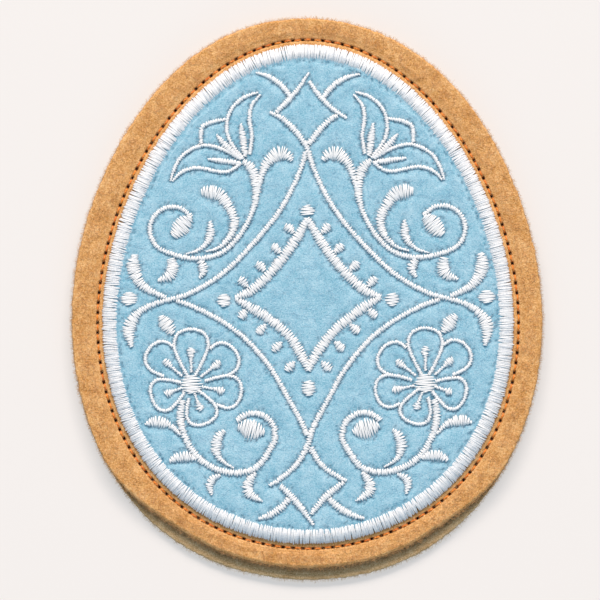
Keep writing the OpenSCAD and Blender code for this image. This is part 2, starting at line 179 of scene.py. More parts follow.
def lumps(xy, size, seed):
    """Smooth random lumps of the given size, from -1 to 1."""
    lattice = np.random.default_rng(seed).uniform(-1, 1, (64, 64))
    u = np.asarray(xy) / size
    cell = np.floor(u).astype(int)
    f = u - cell
    f = f * f * (3 - 2 * f)
    i, j = cell[..., 0] % 64, cell[..., 1] % 64
    i2, j2 = (i + 1) % 64, (j + 1) % 64
    near = lattice[i, j] * (1 - f[..., 0]) + lattice[i2, j] * f[..., 0]
    far = lattice[i, j2] * (1 - f[..., 0]) + lattice[i2, j2] * f[..., 0]
    return near * (1 - f[..., 1]) + far * f[..., 1]


# ---------- motifs
# The same design as in the CAD. A stroke is a row of [x, y, width] points along its middle, in
# millimetres about the middle of the design. Mirrored motifs are given for the right half.
BOW_STEPS = 4
ARC_STEPS = 6
LINE = 1.1
THIN = 0.8
BAR = 2.1


def bow(start, end, sag, widths):
    """A stroke that bends evenly, by sag to the left of its way, with three widths along it."""
    start, end = np.array(start, float), np.array(end, float)
    left = np.array([start[1] - end[1], end[0] - start[0]]) / np.linalg.norm(end - start)
    rows = []
    for t in np.linspace(0, 1, BOW_STEPS + 1):
        hump = 4 * t * (1 - t)
        x, y = start + t * (end - start) + sag * hump * left
        ends = widths[0] * (1 - t) + widths[2] * t
        rows.append([x, y, ends + hump * (widths[1] - (widths[0] + widths[2]) / 2)])
    return rows


def arc(centre, radius, first, last, width):
    """A round stretch about a centre, from one direction to another."""
    turns = np.radians(np.linspace(first, last, ARC_STEPS + 1))
    return [[centre[0] + radius * math.cos(t), centre[1] + radius * math.sin(t), width] for t in turns]


def oval(place, size):
    """A round patch, as a stroke up its middle, so that its threads lie across."""
    shares = np.sin(np.linspace(-1.4, 1.4, 7))
    return [[place[0], place[1] + k * size[1] / 2, size[0] * math.sqrt(1 - k * k)] for k in shares]


DROP_FATNESS = 0.3


def drop(place, direction, length=2.9, width=2.2):
    """A drop that lies along a direction, its far end rounder than its near end."""
    c, s = math.cos(math.radians(direction)), math.sin(math.radians(direction))
    rows = []
    for k in np.sin(np.linspace(-1.4, 1.4, 7)):
        across = width * math.sqrt(1 - k * k) * (1 - DROP_FATNESS / 2 + DROP_FATNESS * k)
        rows.append([place[0] + c * k * length / 2, place[1] + s * k * length / 2, across])
    return rows


def mirrored(stroke):
    return [[-x, y, w] for x, y, w in stroke]


WHISKER = [0.4, 1.2, 0.9]
TOP_DIAMOND = [
    bow([0.5, 50.5], [-7, 41.5], 0.5, [0.4, LINE, 1]),
    bow([0.5, 48.5], [9, 40], -0.8, [0.8, LINE, 0.6]),
    bow([-11.5, 50.5], [-3.5, 44.5], 1.2, WHISKER),
    bow([12, 50], [3.5, 44.5], -1.2, WHISKER),
]
BOTTOM_DIAMOND = [
    bow([1, -52], [-6.5, -43], -0.4, [0.6, 1.4, 1.2]),
    bow([0.5, -49.5], [8.5, -42], 0.6, [0.9, 1.5, 0.9]),
    bow([-11.5, -50.5], [-4.5, -46], -0.8, [0.6, 1.6, 1.2]),
    bow([12.5, -50.5], [4.5, -46], 0.8, [0.6, 1.6, 1.2]),
]
UPPER_RUN = [
    [-5.5, 40, 1.2], [-2.5, 37, 1.3], [0, 33.5, 1.2],
    [1, 30, LINE], [3.5, 24, LINE], [7.5, 17.5, LINE], [14, 10, LINE], [20, 4.5, LINE], [27, 0.5, LINE],
    [34, -1.5, LINE], [38, -3.5, 1.6], [40.5, -7, 2.8], [40, -11.5, 0.8],
]
LOWER_RUN = [
    [39, 9.5, 1.2], [39.5, 6.5, 2.8], [37.5, 2.5, 2], [33, 0, LINE],
    [27, -2, LINE], [20, -5.5, LINE], [14, -10, LINE], [8.5, -16.5, LINE], [4.5, -23.5, LINE],
    [1, -30, 1.2], [-0.5, -34.5, 1.3], [-3, -38.5, LINE],
]
# The strands with their hooks at the right make the diamonds' left corners; the mirrored ones end short
UPPER_STRAND = [[-8.5, 41.5, 0.7]] + UPPER_RUN
UPPER_STRAND_SHORT = [[-7, 40.5, 0.9]] + UPPER_RUN
LOWER_STRAND = LOWER_RUN + [[-6.5, -41.5, LINE], [-9, -43, 0.7]]
LOWER_STRAND_SHORT = LOWER_RUN + [[-6.5, -41, LINE], [-8.5, -42, 0.7]]
CENTRE_BAR_UPPER = [[0, 17.5, 1.2], [2.5, 13, BAR], [6, 8, BAR], [9.5, 4, BAR], [13, 1, BAR], [16.5, -0.5, 1]]
CENTRE_BAR_LOWER = [
    [16.5, -0.5, 1], [12.5, -3, BAR], [8.5, -5.5, BAR], [4.5, -9, BAR], [1.5, -13.5, BAR], [0, -17, 1.2],
]
# The right lower bar bends in less than the left one
CENTRE_BAR_LOWER_RIGHT = [
    [16.5, -0.5, 1], [13, -2.5, BAR], [9.5, -5, BAR], [5.5, -8.5, BAR], [2, -13, BAR], [0, -17, 1.2],
]
PICOT_PLACES = [[4, 15], [7, 10.5], [10.5, 6.5], [14.5, 3]]
PICOT_AXIS = -0.5
PICOTS = [drop(p, 45) for p in PICOT_PLACES]
PICOTS += [drop([x, 2 * PICOT_AXIS - y], -45) for x, y in PICOT_PLACES]
CORNER_DOTS = [oval([0, 19], [3, 3]), oval([0, -21], [3, 3.5])]
CORNER_DOTS += [oval([19, -1], [3, 3]), oval([-19, -1], [3, 3])]
SIDE_DOT = [oval([40.5, -0.5], [3.5, 3])]

STAMEN_WIDTHS = [0.4, 1.6, 0.9]
LILY = [
    [[10.5, 45.5, 0.4], [12.5, 43, THIN], [13, 40, 0.9], [12.5, 36, THIN], [13, 32, THIN]],
    [
        [11, 46, 0.4], [14, 45, THIN], [16.5, 43, THIN], [18, 40, THIN], [18, 36.5, THIN],
        [16.5, 33.5, THIN], [14.5, 31, THIN],
    ],
    bow([15, 39], [14, 31.5], 0, STAMEN_WIDTHS),
    [[18, 40, 0.5], [21, 39.5, 0.9], [23.5, 38.5, 0.9], [24, 37, 0.9], [24, 34.5, THIN]],
    bow([20.5, 36.5], [15, 31], 0.3, STAMEN_WIDTHS),
    [
        [31, 26, 0.4], [30, 29, THIN], [28, 32, THIN], [24, 34, THIN], [20, 33.5, THIN],
        [15, 31, THIN],
    ],
    [[30.5, 26, 0.4], [28.5, 28, THIN], [25, 29, THIN], [18.5, 28, THIN], [15, 30, THIN]],
    bow([22.5, 31], [15, 30], 0, [0.4, 1.2, 0.7]),
]
LILY_STEM = [
    [14.5, 30.5, 1.2], [12.5, 28.5, 2.1], [11.5, 24, 1.8], [12.5, 19, LINE], [15.5, 13.5, LINE],
    [20, 9.5, LINE], [26, 8.5, LINE],
]
LILY_SCROLL = [
    LILY_STEM + arc([30.5, 15], 5.2, -70, 145, 1),
    bow([26.5, 18], [30.5, 13.5], 0, [1.4, 3.8, 1.5]),
    [[3.5, 30.5, 1], [5, 32, 2.6], [7, 32, 2.9], [9.5, 29.5, 1.9], [10.5, 26.5, 1.3], [11.5, 22.5, 0.6]],
    [
        [24, 23.5, 1.4], [22.5, 23.5, 3], [20, 23, 2.9], [18, 20.5, 2.2], [16.5, 17, 1.9], [17.5, 13.5, 1.4],
        [20, 11, THIN], [23, 10, 0.3],
    ],
    [[22, 17, 0.6], [22, 14.5, 1.8], [22.5, 12.5, 1.5], [24.5, 10.5, THIN], [27.5, 9.5, 0.3]],
    [[24.5, 8, 1.6], [23.5, 6, 1.9], [24.5, 4, 0.6]],
    [[31, 8.5, 1.8], [30.5, 6, 2.6], [31.5, 4.5, 2.4], [34, 3.5, 0.6]],
]

# Petals: direction from the heart, reach, breadth, and where the outline starts and stops
FLOWER_HEART = np.array([26.5, -20.0])
HEART_SIZE = [4.6, 4.2]
PETALS = [
    [90, 12.5, 3.1, 45, 315], [42, 12.5, 2.9, 115, 274], [-20, 9.5, 2.9, 55, 305],
    [-110, 9.5, 2.8, 65, 315], [-168, 11.5, 2.9, 98, 300], [142, 12.5, 3, 105, 250],
]
PETAL_LINE = 0.75
PETAL_FULLNESS = 0.9
PETAL_STEPS = 8
STAMEN_RUN = [[0.22, 0.6], [0.44, 0.7], [0.56, 1.6], [0.62, 1.7], [0.67, 0.6]]


def from_heart(direction, along, across=0.0):
    c, s = math.cos(math.radians(direction)), math.sin(math.radians(direction))
    return list(FLOWER_HEART + along * np.array([c, s]) + across * np.array([-s, c]))


def petal(direction, reach, breadth, first, last):
    rows = []
    for t in np.radians(np.linspace(first, last, PETAL_STEPS + 1)):
        across = breadth * math.sin(t) * (1 - PETAL_FULLNESS * math.cos(t))
        rows.append(from_heart(direction, reach * (1 - math.cos(t)) / 2, across) + [PETAL_LINE])
    return rows


FLOWER = [petal(*p) for p in PETALS]
FLOWER += [[from_heart(p[0], k * p[1]) + [w] for k, w in STAMEN_RUN] for p in PETALS]
FLOWER += [oval(FLOWER_HEART, HEART_SIZE)]
BUD = [bow([30.5, -8.5], [33.5, -4.5], 0, [1, 3, 1])]
FLOWER_STEM = [
    [28.5, -23.5, 1.3], [29, -28, 1.6], [27.5, -33, 1.4], [24, -37.5, 1.4], [18, -40, 1.4], [12, -39, 1.4],
]
FLOWER_SCROLL = [
    FLOWER_STEM + arc([12.5, -31.5], 4.9, 205, 40, 1.3),
    bow([16, -29.5], [10, -31], 0, [1.2, 4.4, 1]),
    [[19, -30.5, THIN], [20.5, -32, 2], [21, -34.5, 2.1], [20, -37, LINE], [17, -39, 0.3]],
    [[29, -31.5, 0.6], [31, -29.5, 1.3], [33.5, -28.5, 2.3], [35.5, -28.5, 2], [37, -29, 0.4]],
    bow([25.5, -37], [31.5, -37.5], 1, [0.9, 2.3, 0.8]),
    [[20, -40.5, 0.7], [22, -41.5, 1.7], [22.5, -43, 1.6], [22, -45, 0.6]],
    [[12, -40, 0.7], [13.5, -42, 2], [14, -44, 2.3], [12.5, -45.5, 1.6], [10.5, -46.5, 0.3]],
]

# Motif name: its strokes
MOTIFS = {
    "top_diamond": TOP_DIAMOND,
    "bottom_diamond": BOTTOM_DIAMOND,
    "centre_diamond": [
        CENTRE_BAR_UPPER, CENTRE_BAR_LOWER_RIGHT, mirrored(CENTRE_BAR_UPPER), mirrored(CENTRE_BAR_LOWER),
    ],
    "centre_picots": PICOTS + [mirrored(s) for s in PICOTS] + CORNER_DOTS,
    "upper_strand_right": [UPPER_STRAND],
    "upper_strand_left": [mirrored(UPPER_STRAND_SHORT)],
    "lower_strand_right": [LOWER_STRAND],
    "lower_strand_left": [mirrored(LOWER_STRAND_SHORT)],
}
HALVES = {
    "side_dot": SIDE_DOT, "lily": LILY, "lily_scroll": LILY_SCROLL, "flower": FLOWER, "bud": BUD,
    "flower_scroll": FLOWER_SCROLL,
}
for name, strokes in HALVES.items():
    MOTIFS[name + "_right"] = strokes
    MOTIFS[name + "_left"] = [mirrored(s) for s in strokes]

# Where runs of thread cross, the first one named stops at the edge of the others
STOPS_AT = {
    "top_diamond": ["upper_strand_right", "upper_strand_left"],
    "bottom_diamond": ["lower_strand_right", "lower_strand_left"],
    "centre_picots": ["centre_diamond"],
    "upper_strand_left": ["upper_strand_right"],
    "lower_strand_right": ["upper_strand_right"],
    "lower_strand_left": ["upper_strand_left", "lower_strand_right"],
}


# ---------- mesh helpers
def placed_object(name, data):
    """A new object in the scene."""
    made = bpy.data.objects.new(name, data)
    bpy.context.scene.collection.objects.link(made)
    return made


def mesh_object(name, verts, face_sets, attributes=None):
    """A smooth-shaded object from vertices in millimetres, arrays of faces and values at the vertices."""
    mesh = bpy.data.meshes.new(name)
    verts = np.asarray(verts, float).reshape(-1, 3) * MM
    mesh.vertices.add(len(verts))
    mesh.vertices.foreach_set("co", verts.ravel())
    corners = np.concatenate([f.ravel() for f in face_sets]).astype(np.int32)
    sizes = np.concatenate([np.full(len(f), f.shape[1]) for f in face_sets])
    starts = np.concatenate([[0], np.cumsum(sizes)[:-1]]).astype(np.int32)
    mesh.loops.add(len(corners))
    mesh.loops.foreach_set("vertex_index", corners)
    mesh.polygons.add(len(sizes))
    mesh.polygons.foreach_set("loop_start", starts)
    mesh.polygons.foreach_set("use_smooth", np.ones(len(sizes), bool))
    mesh.update(calc_edges=True)
    for key, values in (attributes or {}).items():
        kind, field = ("FLOAT", "value") if np.ndim(values) == 1 else ("FLOAT_VECTOR", "vector")
        data = np.asarray(values, np.float32).ravel()
        mesh.attributes.new(key, kind, "POINT").data.foreach_set(field, data)
    return placed_object(name, mesh)


def grid_quads(rows, columns, closed):
    """Quads of a grid of vertices, row by row; closed joins the last column to the first."""
    i, j = np.meshgrid(np.arange(rows - 1), np.arange(columns if closed else columns - 1), indexing="ij")
    after = (j + 1) % columns
    this, below = i * columns, (i + 1) * columns
    return np.stack([this + j, below + j, below + after, this + after], -1).reshape(-1, 4)


TINY = 1e-9


def tubes(name, paths, half_width, half_height, sides=6, randoms=None, painted_shade=None):
    """Closed tubes along paths of equal point counts, in one mesh, with an optional amount of painted shade
    at each point.
    """
    paths = np.asarray(paths, float)
    count, points = paths.shape[:2]
    tangent = unit(np.gradient(paths, axis=1))
    # The whole path's direction steadies the sideways one where a thread dives almost straight down
    flat = tangent + 0.4 * unit(paths[:, -1:] - paths[:, :1], TINY)
    side = unit(np.stack([flat[..., 1], -flat[..., 0], np.zeros_like(flat[..., 0])], -1), TINY)
    up = np.cross(side, tangent)
    turn = 2 * math.pi * np.arange(sides) / sides
    wide = np.broadcast_to(half_width, (count, points))[..., None, None]
    high = np.broadcast_to(half_height, (count, points))[..., None, None]
    ring = np.cos(turn)[:, None] * side[:, :, None] * wide + np.sin(turn)[:, None] * up[:, :, None] * high
    verts = paths[:, :, None] + ring
    walls = grid_quads(points, sides, True)
    fan = np.array([[0, k, k + 1, k + 2] for k in range(1, sides - 2, 2)])
    last = (points - 1) * sides + fan[:, ::-1]
    one = np.concatenate([walls, fan, last])
    faces = (one[None] + (np.arange(count) * points * sides)[:, None, None]).reshape(-1, 4)
    if randoms is None:
        randoms = np.random.default_rng(7).random(count)
    values = np.empty((count, points, sides, 3))
    values[..., 0] = distance_along(paths)[..., None]
    values[..., 1] = (np.arange(sides) / sides)[None, None]
    values[..., 2] = np.asarray(randoms)[:, None, None]
    # Painted shade: how far each point takes the material's dark shade colour
    sunk = np.zeros((count, points)) if painted_shade is None else painted_shade
    sunk = np.repeat(sunk[:, :, None], sides, axis=2)
    return mesh_object(name, verts, [faces], {"thread": values.reshape(-1, 3), "painted_shade": sunk.ravel()})


# ---------- satin stitching
def stroke_samples(stroke, steps=12):
    """A stroke's middle line on the felt with its width: rows of x, y, width."""
    rows = spline(stroke, steps)
    rows[:, 2] = np.maximum(rows[:, 2], 0.15)
    return np.column_stack([placed(rows[:, :2]), rows[:, 2]])


def within(xy, rows, margin):
    """Which points lie within a margin of a stroke's edge."""
    gap = np.linalg.norm(xy[:, None] - rows[None, :, :2], axis=2) - rows[None, :, 2] / 2
    return gap.min(1) < margin


# Where the points of a thread lie across its stroke, and the rounded crown that they make there
ACROSS = np.array([-0.98, -0.9, -0.74, -0.5, -0.18, 0.18, 0.5, 0.74, 0.9, 0.98])
CROWN = (1 - np.abs(ACROSS) ** 3) ** 0.8
END_TAPER = 0.45
# Beyond each end the thread runs on as a thin tail that dives into the felt: share of the tail's
# length, height above the felt's level at the stitching
TAIL = [[0.55, 0.06], [1, -0.2]]
TAIL_WIDTH = 0.4


def satin_paths(rows, base, rise, rng, stops=()):
    """Threads of one stroke, laid across its middle line, and the needle holes just outside their ends."""
    run = distance_along(rows[:, :2])
    pitch = SATIN_PITCH if rows[:, 2].max() > FINE_STROKE else FINE_PITCH
    count = max(int(run[-1] / pitch), 3)
    place = (np.arange(count) + 0.5) * run[-1] / count + rng.uniform(-0.2, 0.2, count) * pitch

    def at(where):
        where = np.clip(where, 0, run[-1])
        return np.stack([np.interp(where, run, rows[:, k]) for k in range(3)], -1)

    step = 0.3
    ahead = unit((at(place + step) - at(place - step))[:, :2], TINY)
    left = np.stack([-ahead[:, 1], ahead[:, 0]], -1)
    slant = np.where(np.arange(count) % 2 == 0, 1.0, -1.0) * pitch * 0.3 + rng.uniform(-0.1, 0.1, count)
    reach = at(place)[:, 2] / 2
    loose = rng.normal(0, 0.1, (count, 2)) * np.clip(reach, 0.45, 1)[:, None]
    ends = SATIN_SPREAD * reach[:, None] - SATIN_INSET + loose
    one = at(place - slant)[:, :2] + left * ends[:, :1]
    other = at(place + slant)[:, :2] - left * ends[:, 1:]
    share = (ACROSS[None] + 1) / 2
    flat = one[:, None] * (1 - share[..., None]) + other[:, None] * share[..., None]
    height = np.minimum(rise, 0.12 + 0.2 * reach) + rng.uniform(-0.04, 0.04, count)
    z = base - SATIN_SINK + (height + SATIN_SINK)[:, None] * CROWN[None]
    crown = np.concatenate([flat, z[..., None]], -1)
    tails = np.minimum(0.08 + rng.exponential(0.2, (count, 2)), LONGEST_TAIL)
    heads, feet = [], []
    for out, lift in TAIL:
        level = np.full((count, 1), base - HELD_DOWN + lift)
        heads.append(np.hstack([one + left * out * tails[:, :1], level]))
        feet.append(np.hstack([other - left * out * tails[:, 1:], level]))
    paths = np.concatenate([np.stack(heads[::-1], 1), crown, np.stack(feet, 1)], 1)
    keep = np.ones(count, bool)
    for stop in stops:
        keep &= ~within(at(place)[:, :2], stop, 0.1)
    return paths[keep], np.concatenate([paths[keep, 0, :2], paths[keep, -1, :2]])


def motif_piece(name, strokes, seed):
    rng = np.random.default_rng(seed)
    stops = [stroke_samples(s) for other in STOPS_AT.get(name, []) for s in MOTIFS[other]]
    paths, holes = [], []
    for number, stroke in enumerate(strokes):
        rise = 0.28 + 0.02 * (number % 3)
        found, ends = satin_paths(stroke_samples(stroke), APPLIQUE_TOP, rise, rng, stops)
        paths.append(found)
        holes.append(ends)
    paths = np.concatenate(paths)
    tail = np.ones(len(TAIL))
    width = np.concatenate([TAIL_WIDTH * tail, 1 - (1 - END_TAPER) * np.abs(ACROSS) ** 4, TAIL_WIDTH * tail])
    # Painted shade on the tails and at the crown's edges, where the thread dives into the felt
    painted_shade = np.concatenate([tail, 0.6 * smooth_step(np.abs(ACROSS), 0.85, 1), tail])
    painted_shade = np.broadcast_to(painted_shade, paths.shape[:2])
    high = SATIN_HALF_HEIGHT * np.minimum(1, width / END_TAPER)
    piece = tubes("satin_" + name, paths, SATIN_HALF_WIDTH * width[None], high[None], painted_shade=painted_shade)
    return piece, np.concatenate(holes)


# The border's threads from the outer needle hole to the inner one: distance outside the
# applique's cut edge, height
BORDER_PROFILE = np.array([
    [1.0, FRONT_TOP - 0.45], [1.0, FRONT_TOP], [0.93, FRONT_TOP + 0.34], [0.7, FRONT_TOP + 0.64],
    [0.32, FRONT_TOP + 0.9], [-0.12, FRONT_TOP + 1.12], [-0.6, APPLIQUE_TOP + 0.1],
    [-1.0, APPLIQUE_TOP + 0.14], [-1.4, APPLIQUE_TOP + 0.07], [-1.8, APPLIQUE_TOP - 0.05],
    [-2.18, APPLIQUE_TOP - 0.2], [-2.4, APPLIQUE_TOP - 0.65],
])


def border_piece(seed):
    """The satin border: threads laid across the applique's cut edge all the way round."""
    rng = np.random.default_rng(seed)
    curve = design_egg(0)
    count = int(distance_along(np.vstack([curve, curve[:1]]))[-1] / BORDER_PITCH)
    spots, normals = even_places(curve, count)
    ahead = np.stack([-normals[:, 1], normals[:, 0]], -1)
    share = np.linspace(-1, 1, len(BORDER_PROFILE))
    outer = np.clip(-share, 0, 1) ** 2
    inner = np.clip(share, 0, 1) ** 2
    ragged = rng.normal(0, 0.14, (count, 2))
    distance = BORDER_PROFILE[:, 0][None] + outer[None] * ragged[:, :1] - inner[None] * ragged[:, 1:]
    slide = rng.normal(0, 0.05, count)[:, None] + share[None] * rng.normal(0, 0.16, count)[:, None]
    flat = spots[:, None] + normals[:, None] * distance[..., None] + ahead[:, None] * slide[..., None]
    z = BORDER_PROFILE[:, 1][None] + rng.uniform(-0.09, 0.04, count)[:, None] * (1 - share**2)[None]
    paths = np.concatenate([flat, z[..., None]], -1)
    width = SATIN_HALF_WIDTH * (1 - (1 - END_TAPER) * np.abs(share) ** 5)
    piece = tubes("satin_border_threads", paths, width[None], BORDER_HALF_HEIGHT)
    holes = flat[:, -1] - normals * rng.uniform(0.25, 0.5, count)[:, None]
    return piece, holes


# ---------- edge seam
def seam_piece(name, spots, hole_z, crest_z, seed, radius=0.11, twist=1.0):
    """Stitches of two-ply thread from needle hole to needle hole. Threads run down into each hole."""
    rng = np.random.default_rng(seed)
    count = len(spots)
    rising = np.array([0, 0.03, 0.06, 0.09, 0.12, 0.16, 0.22, 0.3, 0.4])
    share = np.concatenate([rising, [0.5], 1 - rising[::-1]])
    after = np.roll(spots, -1, 0)
    flat = spots[:, None] * (1 - share[None, :, None]) + after[:, None] * share[None, :, None]
    ahead = unit(after - spots)
    side = np.stack([ahead[:, 1], -ahead[:, 0]], -1)
    sway = rng.uniform(-0.07, 0.07, count)
    flat += side[:, None] * (sway[:, None] * np.sin(math.pi * share)[None])[..., None]
    arch = np.sin(math.pi * share) ** 0.8
    uneven = rng.uniform(-0.02, 0.02, count)[:, None]
    z = hole_z + (crest_z - hole_z + uneven) * arch[None]
    middle = np.concatenate([flat, z[..., None]], -1)
    tangent = unit(np.gradient(middle, axis=1))
    across = np.broadcast_to(np.concatenate([side, np.zeros((count, 1))], 1)[:, None], middle.shape)
    over = np.cross(across, tangent)
    run = distance_along(middle)
    plies = []
    for phase in (0, math.pi):
        angle = (2 * math.pi * run / twist + phase)[..., None]
        plies.append(middle + radius * (np.cos(angle) * across + np.sin(angle) * over))
    # Painted shade where the stitch runs down into a needle hole
    sunk = smooth_step(1 - arch, 0.15, 0.6)
    sunk = np.broadcast_to(sunk, (2 * count, len(share)))
    return tubes(name, np.concatenate(plies), radius * 1.12, radius * 1.12, painted_shade=sunk)


# ---------- felt sheets
def tree_of(xy):
    """A search tree of points."""
    tree = kdtree.KDTree(len(xy))
    for k, (x, y) in enumerate(xy):
        tree.insert((x, y, 0), k)
    tree.balance()
    return tree


def stitch_gap(xy, tree, half_widths):
    """How far points lie from the edge of the nearest stitching."""
    return np.array([min(d - half_widths[i] for _, i, d in tree.find_n((x, y, 0), 3)) for x, y in xy])


def round_sheet(name, angles, rings, attributes=None):
    """A closed sheet from rings of radius and height, from the top's middle round to the underside's."""
    radius = np.stack([r for r, z in rings])
    height = np.stack([np.broadcast_to(z, r.shape) for r, z in rings])
    x = radius * np.cos(angles)
    y = radius * np.sin(angles)
    verts = np.stack([x, y, height], -1).reshape(-1, 3)
    columns = len(angles)
    quads = grid_quads(len(rings), columns, True)
    first, last = len(verts), len(verts) + 1
    verts = np.vstack([verts, [0, 0, height[0].mean()], [0, 0, height[-1].mean()]])
    k = np.arange(columns)
    after = (k + 1) % columns
    base = (len(rings) - 1) * columns
    fans = np.concatenate([
        np.stack([np.full(columns, first), k, after], -1),
        np.stack([np.full(columns, last), base + after, base + k], -1),
    ])
    return mesh_object(name, verts, [quads, fans], attributes)


def groove(offset, phase):
    """How far the seam pulls the felt down, in a groove with a deep pit at each needle hole, and the pits,
    which also set the felt's painted shade.
    """
    pit = np.exp(-((offset / 0.3) ** 4) - (phase / 0.4) ** 4)
    return 0.22 * np.exp(-((offset / 0.4) ** 2)) + 1.15 * pit, pit


SPOKES_PER_STITCH = 12
seam_curve = design_egg(SEAM_DISTANCE)
seam_spots, _ = even_places(seam_curve, SEAM_STITCHES)
spoke_spots, _ = even_places(seam_curve, SEAM_STITCHES * SPOKES_PER_STITCH)
spokes = np.arctan2(spoke_spots[:, 1], spoke_spots[:, 0])
seam_radius = np.linalg.norm(spoke_spots, axis=1)
stitch_length = np.linalg.norm(seam_spots[1] - seam_spots[0])
turns = np.arange(len(spokes)) % SPOKES_PER_STITCH
# Distance along the seam to the nearest needle hole, for each spoke
spoke_phase = np.minimum(turns, SPOKES_PER_STITCH - turns) * stitch_length / SPOKES_PER_STITCH
# Which needle hole is nearest to each spoke, and how much painted shade that hole gets
spoke_hole = (np.arange(len(spokes)) + SPOKES_PER_STITCH // 2) // SPOKES_PER_STITCH % SEAM_STITCHES
spoke_shade = np.random.default_rng(14).uniform(0.35, 0.9, SEAM_STITCHES)[spoke_hole]

# Places of rings beside the seam, outwards from it
TOP_OFFSETS = [-2.4, -1.5, -1.1, -0.85, -0.65, -0.5, -0.4, -0.3, -0.2, -0.1]
TOP_OFFSETS += [0, 0.1, 0.2, 0.3, 0.4, 0.5, 0.65, 0.85]
UNDER_OFFSETS = [0.65, 0.38, 0.2, 0, -0.2, -0.38, -0.65]
OUTER_RINGS = 16
# A felt's cut face from the top down: how far in, the share of a slanting cut, height from -1 to 1
CUT_FACE = [
    [0.2, 0.9, 0.96], [0.09, 0.8, 0.8], [0.04, 0.6, 0.45], [0, 0.4, 0.1], [0, 0.2, -0.3],
    [0.03, 0, -0.65], [0.2, 0, -0.93], [0.6, 0, -1],
]


def felt_piece(name, outline, bottom, thickness, puff, grooved_top, bevel, foot, seed, upper_edge=None):
    """A tan felt: pinched along the seam, puffed outside it, with a rounded, slightly ragged cut edge.

    bevel is how far the cut slants in, foot how much painted shade the foot of the cut gets, and upper_edge
    the edge of a felt above, which presses a crevice into this one; the crevice gets painted shade too."""
    rng = np.random.default_rng(seed)
    nicks = np.convolve(np.tile(rng.normal(0, 0.12, len(spokes)), 3), np.ones(5) / 5, "same")
    edge = radius_of(outline - FELT_MIDDLE)(spokes) + nicks[len(spokes):2 * len(spokes)]
    upper = bottom + thickness
    rings, painted_shades = [], []

    def add(radius, z, painted_shade=0.0):
        rings.append((radius, z))
        painted_shades.append(np.broadcast_to(painted_shade, radius.shape))

    def wrinkle(radius):
        xy = radius[:, None] * towards(spokes)
        return 0.05 * lumps(xy, 2.6, seed) + 0.03 * lumps(xy, 0.9, seed + 1)

    for share in (0.4, 0.8):
        add(seam_radius * share, upper)
    for offset in TOP_OFFSETS:
        radius = seam_radius + offset
        if grooved_top:
            depth, pit = groove(offset, spoke_phase)
        else:
            depth, pit = 0.25 * math.exp(-((offset / 1.2) ** 2)), 0.0
        # Painted shade in the needle-hole pits, darker at some holes than others
        add(radius, upper + 0.6 * wrinkle(radius) - depth, pit * spoke_shade)
    start = seam_radius + TOP_OFFSETS[-1]
    span = edge - 0.36 - bevel - start
    for share in np.linspace(0.06, 1, OUTER_RINGS):
        radius = start + span * share
        # Painted shade in the crevice at the foot of the felt above
        crevice = 0 if upper_edge is None else np.exp(-(((radius - upper_edge) / 0.45) ** 2))
        z = upper + puff * smooth_step(share, 0, 0.3) + wrinkle(radius) - 0.3 * crevice
        add(radius, z, 0.45 * crevice)
    middle = bottom + thickness / 2
    for inset, slant, lift in CUT_FACE:
        half = upper + puff - middle if lift > 0 else middle - bottom
        ragged = 0.05 * rng.normal(0, 1, len(spokes))
        # Painted shade at the foot of the cut
        add(edge - inset - slant * bevel + ragged, middle + lift * half, foot * smooth_step(-lift, -0.5, 0.4))
    for share in (0.3, 0.65):
        add(edge - 0.6 - (edge - 0.6 - seam_radius - 0.7) * share, bottom)
    for offset in UNDER_OFFSETS:
        radius = seam_radius + offset
        depth, pit = groove(offset, spoke_phase)
        below = 0 if grooved_top else 1
        # Painted shade in the pits underneath
        add(radius, bottom + below * np.minimum(depth, 0.9), below * pit)
    for share in (0.9, 0.6, 0.3):
        add(seam_radius * share, bottom)
    shade = np.concatenate([np.clip(np.stack(painted_shades), 0, 1).reshape(-1), [0, 0]])
    return round_sheet(name, spokes, rings, {"painted_shade": shade}), edge


BLUE_PUFF = 0.18
BLUE_CELLS = 296
# The blue felt's edge and underside: share of the way out from the middle, height
BLUE_UNDER = [[1.0015, APPLIQUE_TOP - 0.8], [1, FRONT_TOP + 0.2]]
BLUE_UNDER += [[share, FRONT_TOP] for share in (0.995, 0.8, 0.4)]


def applique_height(xy, stitch_tree, stitch_half, hole_tree):
    """Height of the pale blue felt: held down at the stitching, puffed between, dimpled at needle holes, and
    its painted shade.
    """
    gap = stitch_gap(xy, stitch_tree, stitch_half)
    hole_gap = np.array([hole_tree.find((x, y, 0))[2] for x, y in xy])
    pulled = np.exp(-((hole_gap / 0.26) ** 2))
    puff = BLUE_PUFF * smooth_step(gap, 0, 2)
    rough = 0.022 * lumps(xy, 2.6, 31) + 0.028 * lumps(xy, 0.7, 32)
    z = APPLIQUE_TOP - HELD_DOWN + puff + rough * smooth_step(gap, 0, 1) - 0.12 * pulled
    # Painted shade: dark dots in the dimpled needle holes, and a little beside the stitching
    close = np.exp(-(np.maximum(gap, 0) / 0.3) ** 2)
    return z, np.clip(0.8 * pulled + 0.2 * close, 0, 1)


